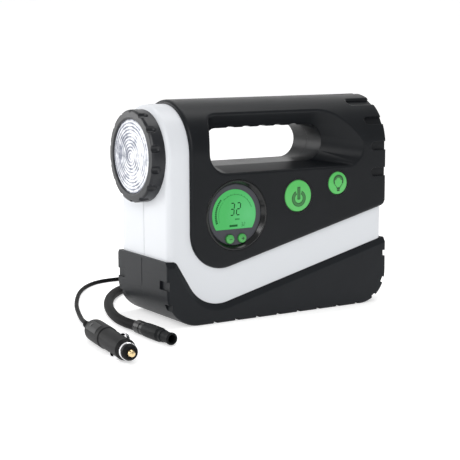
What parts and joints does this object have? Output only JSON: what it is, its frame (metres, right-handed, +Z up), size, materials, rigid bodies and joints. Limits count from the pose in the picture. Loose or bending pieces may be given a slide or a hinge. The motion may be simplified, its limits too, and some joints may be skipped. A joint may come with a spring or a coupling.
{
  "type": "portable tire inflator",
  "caption": "Corded portable tire inflator with a through carry handle, round digital gauge, push buttons, end lamp, air hose and 12 V plug.",
  "frame": {"origin": "middle of the flat base, on the surface it stands on", "axes": "+Z up; +X towards the end without the lamp; the gauge and buttons face -Y"},
  "size_m": [0.3486, 0.3444, 0.2084],
  "materials": {
    "pale_housing": "satin",
    "dark_cover": "satin",
    "dark_boot": "satin",
    "screw_steel": "satin",
    "bezel_black": "satin",
    "lens_clear": "clear",
    "reflector_chrome": "bright",
    "board_green": "satin",
    "gauge_black": "gloss",
    "gauge_grey": "satin",
    "lcd_green": "gloss",
    "button_green": "satin",
    "switch_black": "satin",
    "zinc_can": "satin",
    "cap_black": "satin",
    "armature_steel": "satin",
    "gear_steel": "satin",
    "bearing_brass": "satin",
    "frame_cast": "cast",
    "rod_plastic": "satin",
    "piston_alloy": "satin",
    "seal_rubber": "matte",
    "cylinder_alloy": "satin",
    "hose_rubber": "satin",
    "cord_rubber": "satin",
    "connector_black": "satin",
    "stem_brass": "satin",
    "plug_black": "satin",
    "plug_chrome": "bright"
  },
  "bodies": {
    "inflator": {"front_housing": "pale_housing", "rear_housing": "pale_housing", "front_cover": "dark_cover", "rear_cover": "dark_cover", "front_boot": "dark_boot", "rear_boot": "dark_boot", "housing_screws": "screw_steel", "lamp_bezel": "bezel_black", "lamp_lens": "lens_clear", "lamp_reflector": "reflector_chrome", "lamp_led_board": "board_green", "gauge_bezel": "gauge_black", "gauge_face": "gauge_grey", "lcd_window": "lcd_green", "lcd_module": "gauge_grey", "control_board": "board_green", "tact_switches": "switch_black", "pressure_sensor": "switch_black", "motor_can": "zinc_can", "motor_end_cap": "cap_black", "gearbox_frame": "frame_cast", "crank_bearing": "bearing_brass", "cylinder": "cylinder_alloy", "cylinder_head": "cylinder_alloy", "reed_valve": "zinc_can", "head_screws": "screw_steel", "motor_screws": "screw_steel", "rubber_mounts": "seal_rubber", "outlet_pipe": "hose_rubber", "hose_gland": "cord_rubber", "air_hose": "hose_rubber", "hose_ferrule": "connector_black", "connector_stem": "stem_brass", "power_gland": "cord_rubber", "power_lead": "cord_rubber", "power_cord_coil": "cord_rubber", "power_cord": "cord_rubber", "cord_tie": "seal_rubber", "plug_relief": "cord_rubber", "plug_body": "plug_black", "plug_ring": "plug_chrome", "plug_nose": "plug_black", "plug_fuse": "screw_steel"},
    "power_key": {"power_button": "button_green"},
    "light_key": {"light_button": "button_green"},
    "minus_key": {"minus_button": "button_green"},
    "plus_key": {"plus_button": "button_green"},
    "rotor": {"motor_rotor": "armature_steel", "pinion": "gear_steel", "cooling_fan": "cap_black"},
    "crank": {"crank_gear": "gear_steel", "crank_pin": "gear_steel"},
    "rod": {"connecting_rod": "rod_plastic"},
    "piston": {"piston": "piston_alloy", "piston_seal": "seal_rubber"},
    "connector": {"hose_connector": "connector_black"},
    "tip": {"plug_tip": "plug_chrome"},
    "contact_left": {"left_contact": "plug_chrome"},
    "contact_right": {"right_contact": "plug_chrome"}
  },
  "joints": [
    {"name": "power_press", "type": "slide", "parent": "inflator", "child": "power_key", "axis": [0, 1, 0], "range_m": [0, 0.0012], "stiffness_N_per_m": 900, "springref_m": -0.0008},
    {"name": "light_press", "type": "slide", "parent": "inflator", "child": "light_key", "axis": [0, 1, 0], "range_m": [0, 0.0012], "stiffness_N_per_m": 900, "springref_m": -0.0008},
    {"name": "minus_press", "type": "slide", "parent": "inflator", "child": "minus_key", "axis": [0, 1, 0], "range_m": [0, 0.0012], "stiffness_N_per_m": 700, "springref_m": -0.0008},
    {"name": "plus_press", "type": "slide", "parent": "inflator", "child": "plus_key", "axis": [0, 1, 0], "range_m": [0, 0.0012], "stiffness_N_per_m": 700, "springref_m": -0.0008},
    {"name": "crank_spin", "type": "hinge", "parent": "inflator", "child": "crank", "pos_m": [0.0095, 0, 0.061], "axis": [1, 0, 0], "continuous": true},
    {"name": "motor_spin", "type": "hinge", "parent": "inflator", "child": "rotor", "pos_m": [0.046, 0, 0.031], "axis": [1, 0, 0], "continuous": true},
    {"name": "rod_turn", "type": "hinge", "parent": "crank", "child": "rod", "pos_m": [-0.003, 0, 0.056], "axis": [1, 0, 0], "continuous": true},
    {"name": "piston_slide", "type": "slide", "parent": "inflator", "child": "piston", "axis": [0, 0, 1], "range_m": [0, 0.01]},
    {"name": "connector_turn", "type": "hinge", "parent": "inflator", "child": "connector", "pos_m": [-0.15633, -0.07949, 0.0066], "axis": [0.0233, -0.9997, 0], "continuous": true},
    {"name": "tip_press", "type": "slide", "parent": "inflator", "child": "tip", "axis": [0.1373, 0.9905, 0], "range_m": [0, 0.005], "stiffness_N_per_m": 1500, "springref_m": -0.001},
    {"name": "left_contact_press", "type": "slide", "parent": "inflator", "child": "contact_left", "axis": [0.5395, -0.0748, 0.8387], "range_m": [0, 0.0014], "stiffness_N_per_m": 2500, "springref_m": -0.0004},
    {"name": "right_contact_press", "type": "slide", "parent": "inflator", "child": "contact_right", "axis": [-0.5395, 0.0748, -0.8387], "range_m": [0, 0.0014], "stiffness_N_per_m": 2500, "springref_m": -0.0004}
  ],
  "couplings": [
    {"joint": "motor_spin", "follows": "crank_spin", "ratio": -4},
    {"joint": "rod_turn", "follows": "crank_spin", "ratio": -1}
  ]
}
